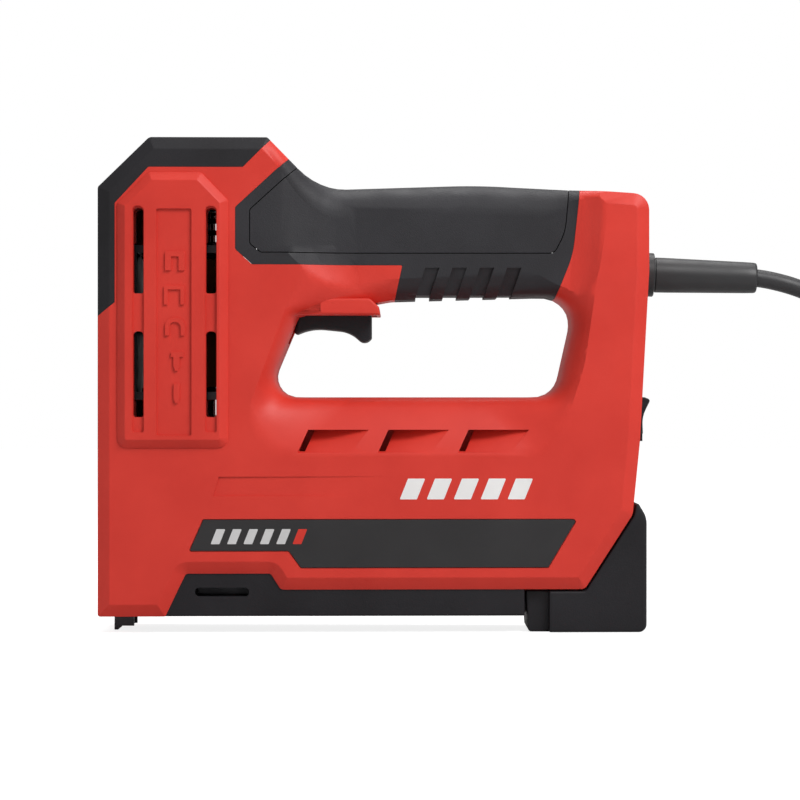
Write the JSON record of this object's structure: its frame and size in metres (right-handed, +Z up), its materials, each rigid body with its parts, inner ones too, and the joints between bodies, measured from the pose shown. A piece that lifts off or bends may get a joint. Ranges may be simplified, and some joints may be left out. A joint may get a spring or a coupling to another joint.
{
  "type": "electric staple gun",
  "caption": "Corded electric staple gun with a closed hand hole, trigger, vented head, slide-out rail magazine, rear rocker switch and mains cord.",
  "frame": {"origin": "on the standing surface, below the middle of the body without its cord", "axes": "+X from the nose to the cord, along the longest side; +Y across the body, its thinnest way; +Z up, away from the workpiece"},
  "size_m": [0.4828, 0.0658, 0.1913],
  "materials": {
    "housing_red": "satin moulded nylon",
    "soft_skin": "matt thermoplastic rubber",
    "label_plate": "matt printed film on a plate",
    "black_plastic": "fine textured nylon",
    "steel": "brushed steel",
    "dark_steel": "blackened steel",
    "copper_winding": "enamelled copper wire",
    "board": "solder-masked laminate",
    "cord_jacket": "smooth flexible jacket"
  },
  "bodies": {
    "housing": {"left_housing": "housing_red", "right_housing": "housing_red", "left_head_bumper": "soft_skin", "right_head_bumper": "soft_skin", "left_grip": "soft_skin", "right_grip": "soft_skin", "left_label": "label_plate", "right_label": "label_plate", "housing_screws": "steel", "nose_cover": "housing_red", "rear_panel": "black_plastic", "switch_body": "black_plastic", "rocker_pin": "steel", "nose_front_plate": "steel", "nose_block": "dark_steel", "nose_screws": "steel", "stroke_bumper": "black_plastic", "solenoid_frame": "dark_steel", "coil_bobbin": "black_plastic", "coil_winding": "copper_winding", "trigger_pin": "steel", "trigger_spring": "steel", "microswitch": "black_plastic", "control_board": "board", "capacitor": "black_plastic", "heat_sink": "dark_steel", "wiring": "cord_jacket", "magazine_base": "black_plastic", "strain_relief": "cord_jacket", "cord_clamp": "black_plastic", "clamp_screws": "steel", "cord_lead": "cord_jacket", "power_cord": "cord_jacket", "plug_lead": "cord_jacket", "cord_hank": "cord_jacket", "cord_ties": "cord_jacket", "plug_body": "cord_jacket", "plug_blades": "steel", "return_spring": "steel"},
    "trigger": {"trigger": "black_plastic"},
    "driver": {"plunger": "steel", "blade_carrier": "dark_steel", "driver_blade": "steel", "blade_rivets": "steel"},
    "magazine": {"magazine_channel": "steel", "staple_core": "steel", "guide_rod": "steel", "rod_bracket": "steel", "magazine_foot": "black_plastic", "foot_screws": "steel", "latch_spring": "steel", "pusher_spring": "steel"},
    "pusher": {"pusher": "black_plastic"},
    "latch": {"latch_button": "black_plastic"},
    "rocker": {"rocker_button": "black_plastic"}
  },
  "joints": [
    {"name": "trigger_pivot", "type": "hinge", "parent": "housing", "child": "trigger", "pos_m": [-0.038, 0, 0.127], "axis": [0, -1, 0], "range_deg": [0, 8], "stiffness_Nm_per_rad": 1.2, "springref_deg": -14.32, "deforming": ["trigger_spring"]},
    {"name": "driver_slide", "type": "slide", "parent": "housing", "child": "driver", "axis": [0, 0, -1], "range_m": [0, 0.022], "stiffness_N_per_m": 450, "springref_m": -0.012, "deforming": ["return_spring"]},
    {"name": "rocker_pivot", "type": "hinge", "parent": "housing", "child": "rocker", "pos_m": [0.1012, 0, 0.084], "axis": [0, -1, 0], "range_deg": [0, 24]},
    {"name": "magazine_slide", "type": "slide", "parent": "housing", "child": "magazine", "axis": [1, 0, 0], "range_m": [0, 0.09]},
    {"name": "pusher_slide", "type": "slide", "parent": "magazine", "child": "pusher", "axis": [1, 0, 0], "range_m": [0, 0.1], "stiffness_N_per_m": 60, "springref_m": -0.06, "deforming": ["pusher_spring"]},
    {"name": "latch_press", "type": "slide", "parent": "magazine", "child": "latch", "axis": [-1, 0, 0], "range_m": [0, 0.002], "stiffness_N_per_m": 1500, "springref_m": -0.002, "deforming": ["latch_spring"]}
  ]
}
